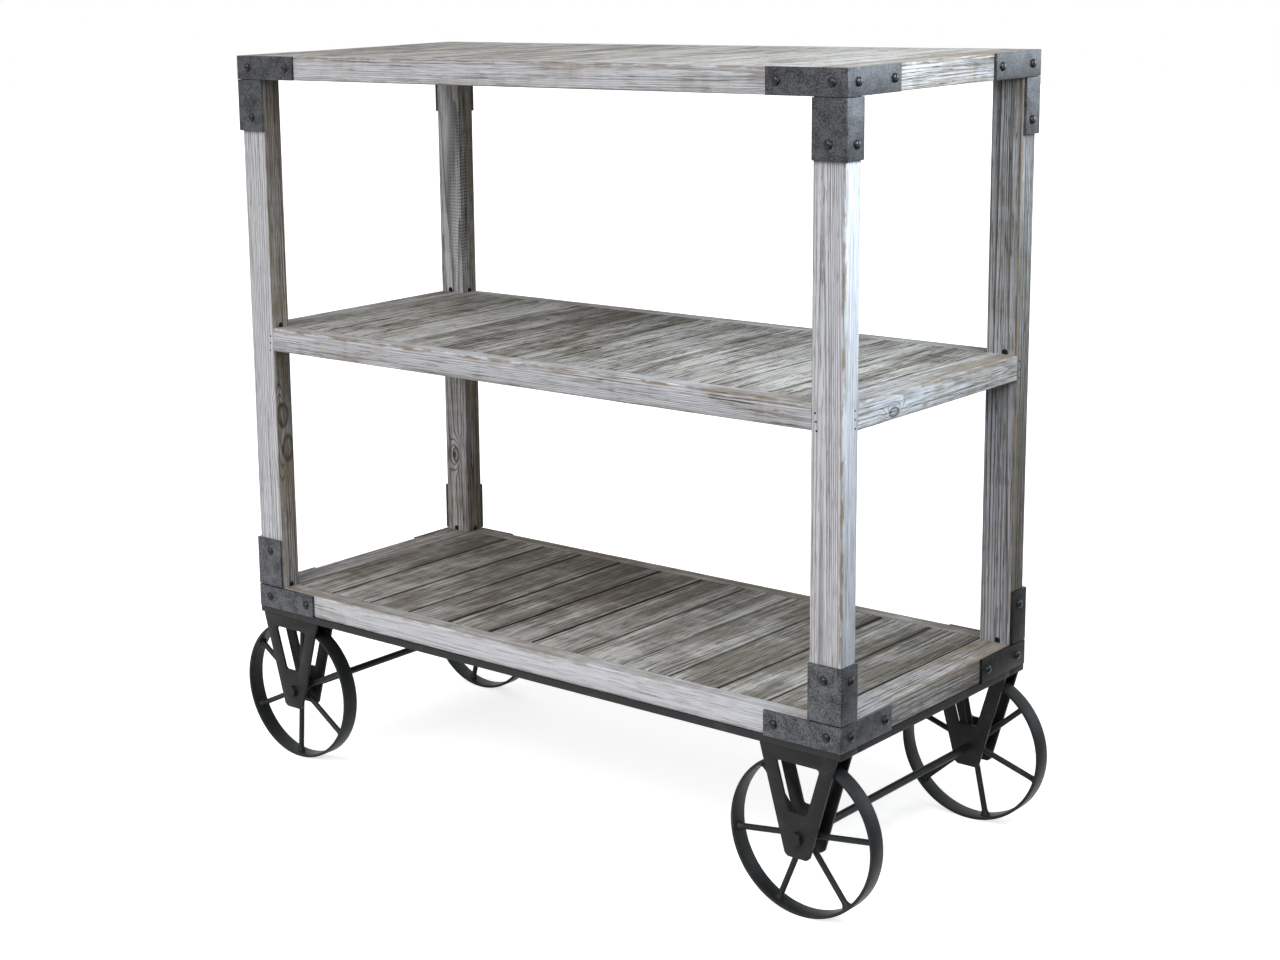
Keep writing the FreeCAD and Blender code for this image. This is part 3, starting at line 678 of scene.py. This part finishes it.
def folded_strip(bm, corner, leg_x, leg_y, low_z, high_z, edge):
    """Strip folded round a corner of the cart with a round outer bend and rounded edges."""
    side_x, side_y = CORNERS[corner]
    outline = [(leg_x, 0)]
    for k in range(BEND_STEPS + 1):
        turn = math.pi / 2 * k / BEND_STEPS
        outline.append((BEND_RADIUS * (1 - math.sin(turn)), BEND_RADIUS * (1 - math.cos(turn))))
    outline += [(0, leg_y), (STEEL, leg_y), (STEEL, STEEL), (leg_x, STEEL)]
    part = bmesh.new()
    base = []
    for x, y in outline:
        base.append(part.verts.new((side_x * (CART_HALF_X - x), side_y * (CART_HALF_Y - y), low_z)))
    face = part.faces.new(base)
    pushed = bmesh.ops.extrude_face_region(part, geom=[face])
    raised = [g for g in pushed["geom"] if isinstance(g, bmesh.types.BMVert)]
    bmesh.ops.translate(part, vec=(0, 0, high_z - low_z), verts=raised)
    bmesh.ops.recalc_face_normals(part, faces=part.faces)
    sharp = [e for e in part.edges if e.calc_face_angle(0) > 1.0]
    bmesh.ops.bevel(part, geom=sharp, offset=edge, segments=2, affect="EDGES", profile=0.6)
    mesh = bpy.data.meshes.new("strip")
    part.to_mesh(mesh)
    part.free()
    bm.from_mesh(mesh)
    bpy.data.meshes.remove(mesh)


for shelf in ("top", "bottom"):
    for corner in CORNERS:
        node = "%s_bracket_%s" % (shelf, corner)
        low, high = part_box(node)
        if shelf == "top":
            band = (high.z - RAIL_HEIGHT, high.z)
            angle = (low.z, band[0] - TOP_SEAM)
        else:
            band = (low.z, low.z + RAIL_HEIGHT)
            angle = (band[1] + BOTTOM_SEAM, high.z)
        bm = bmesh.new()
        folded_strip(bm, corner, BAND_LEG, BAND_LEG, *band, BRACKET_EDGE)
        folded_strip(bm, corner, ANGLE_LEG_X, ANGLE_LEG_Y, *angle, BRACKET_EDGE)
        # Painted shade: the three brackets at the back take the darker copy of the steel.
        bracket_steel = bracket_steel_painted_shade if node in SHADED_BRACKETS else MOTTLED[shelf]
        stand_for(finish_mesh(node + "_steel", bm, bracket_steel), "cart", "bracket_steel", node)


# Bolts of the brackets: low round steel heads with a thin rim, six on each bracket, in gloss black paint.
# Each head is turned from a profile and stands on the steel of the band or the angle.
bolt_gloss, start, place = new_material("bolt_gloss")
dust = start.node("TexNoise", {}, place, Scale=600.0, Detail=3.0)
bolt_tone = dust.spread(0.4, 0.8).mix((0.006, 0.006, 0.007), (0.02, 0.02, 0.021))
surface(start, dust, 0.00008, Base_Color=bolt_tone, Roughness=0.1 + dust * 0.12, Specular_IOR_Level=0.3)
BOLT_RIM_RADIUS, BOLT_RIM, DOME_RADIUS, DOME_HEIGHT, DOME_STEPS = 0.00575, 0.0006, 0.0056, 0.003, 8
BAND_BOLTS_X, ANGLE_BOLT_X = (0.397, 0.471), 0.4665
BAND_BOLTS_Y, ANGLE_BOLT_Y = (0.120, 0.194), 0.196
BOLT_HEIGHTS = {"top": (0.984, 0.916), "bottom": (0.234, 0.302)}
bolt_profile = [(BOLT_RIM_RADIUS, 0.0), (BOLT_RIM_RADIUS, BOLT_RIM)]
for k in range(DOME_STEPS):
    rise = math.pi / 2 * k / DOME_STEPS
    bolt_profile.append((DOME_RADIUS * math.cos(rise), BOLT_RIM + DOME_HEIGHT * math.sin(rise)))
bolt_profile.append((0.0003, BOLT_RIM + DOME_HEIGHT))
for shelf, (band_z, angle_z) in BOLT_HEIGHTS.items():
    heights = (band_z, band_z, angle_z)
    bm = bmesh.new()
    for side_x, side_y in CORNERS.values():
        for x, z in zip((*BAND_BOLTS_X, ANGLE_BOLT_X), heights):
            seat = toward((side_x * x, side_y * CART_HALF_Y, z), (0, side_y, 0))
            lathe(bm, bolt_profile, seat, 28, closed=False)
        for y, z in zip((*BAND_BOLTS_Y, ANGLE_BOLT_Y), heights):
            seat = toward((side_x * CART_HALF_X, side_y * y, z), (side_x, 0, 0))
            lathe(bm, bolt_profile, seat, 28, closed=False)
    node = shelf + "_bracket_bolts"
    stand_for(finish_mesh(node + "_domes", bm, bolt_gloss, 60), "cart", "bolt_black", node)


# Stage: a white floor and white surroundings, which metal shows too, apart from a dull patch of floor right
# of the cart. A near cool light at the right, a cool panel behind, a broad front light and a top light.
# The camera stands where the photo was taken from.
def ray(start, kind):
    """1 for rays of one kind."""
    return start.node("LightPath", {}, out="Is %s Ray" % kind)


FLOOR_HALF = 14
floor_white, start, place = new_material("floor_white")
rightward = start.node("SeparateXYZ", {}, place, out="X")
to_right = rightward.spread(0.5, 0.9)
dark_patch = to_right * rightward.spread(2.6, 1.6)
seen = ray(start, "Camera") + ray(start, "Transmission") + ray(start, "Glossy") * (1 - dark_patch)
bright = start.node("BsdfPrincipled", {}, Base_Color=(0.8, 0.8, 0.8), Roughness=1.0, Specular_IOR_Level=0.0,
                    Emission_Color=(1, 1, 1), Emission_Strength=0.72)
pale = start.node("BsdfDiffuse", {}, Color=(0.6, 0.6, 0.6))
dull = start.node("BsdfDiffuse", {}, Color=(0.06, 0.06, 0.06))
shaded = start.node("MixShader", {}, to_right, pale, dull)
start.node("OutputMaterial", {}, start.node("MixShader", {}, seen, shaded, bright))
bm = bmesh.new()
bmesh.ops.create_grid(bm, x_segments=8, y_segments=8, size=FLOOR_HALF)
floor = finish_mesh("floor", bm, floor_white)

world = bpy.data.worlds.new("surroundings")
bpy.context.scene.world = world
world.use_nodes = True
world.node_tree.nodes.clear()
sky = Sock(world.node_tree)
seen = ray(sky, "Camera") + ray(sky, "Transmission") + ray(sky, "Glossy")
lit = sky.node("Background", {}, (0.97, 0.98, 1.0), 0.22)
white = sky.node("Background", {}, (1, 1, 1), 1.0)
sky.node("OutputWorld", {}, sky.node("MixShader", {}, seen, lit, white))


def add_light(name, kind, place, aim, power, color, size, spread=180):
    """Light at a place, aimed at a point; a sun's size is its angle in degrees."""
    light = bpy.data.lights.new(name, kind)
    light.energy = power
    light.color = color
    if kind == "AREA":
        light.size = size
        light.spread = math.radians(spread)
    else:
        light.angle = math.radians(size)
    lamp = bpy.data.objects.new(name, light)
    lamp.matrix_world = toward(place, Vector(place) - Vector(aim))
    bpy.context.scene.collection.objects.link(lamp)


COOL = (0.8, 0.91, 1.0)
add_light("near_right", "AREA", (1.15, -0.2, 1.3), (0.49, -0.12, 0.95), 5.2, COOL, 0.5, 100)
add_light("right_panel", "AREA", (1.85, 2.1, 1.3), (0.5, 0, 0.95), 2.2, COOL, 1.1, 40)
add_light("front", "SUN", (0, -2.3, 1.93), (0, 0, 0), 2.35, (1, 0.99, 0.99), 50)
add_light("above", "SUN", (0, 0, 2), (0, 0, 0), 0.6, (1, 0.98, 0.94), 90)

PHOTO_WIDTH, PHOTO_HEIGHT, FOCAL_PIXELS = 1280, 960, 2219.145
PHOTO_CENTRE_X, PHOTO_CENTRE_Y = 482.224, 411.273
CAMERA_PLACE = (1.815885, -2.274636, 1.130025)
yaw, pitch, roll = math.radians(42.2068), math.radians(11.6674), math.radians(-1.3169)
ahead = Vector((-math.sin(yaw) * math.cos(pitch), math.cos(yaw) * math.cos(pitch), -math.sin(pitch)))
right = Vector((math.cos(yaw), math.sin(yaw), 0))
up = right.cross(ahead)
right, up = right * math.cos(roll) + up * math.sin(roll), up * math.cos(roll) - right * math.sin(roll)
camera = bpy.data.cameras.new("camera")
camera.sensor_width = 36
camera.lens = camera.sensor_width * FOCAL_PIXELS / PHOTO_WIDTH
camera.shift_x = (PHOTO_WIDTH / 2 - PHOTO_CENTRE_X) / PHOTO_WIDTH
camera.shift_y = (PHOTO_CENTRE_Y - PHOTO_HEIGHT / 2) / PHOTO_WIDTH
camera.clip_end = 50
eye = bpy.data.objects.new("camera", camera)
eye.matrix_world = lying(CAMERA_PLACE, right, up, -ahead)
bpy.context.scene.collection.objects.link(eye)
bpy.context.scene.camera = eye
bpy.context.scene.view_settings.view_transform = "Standard"
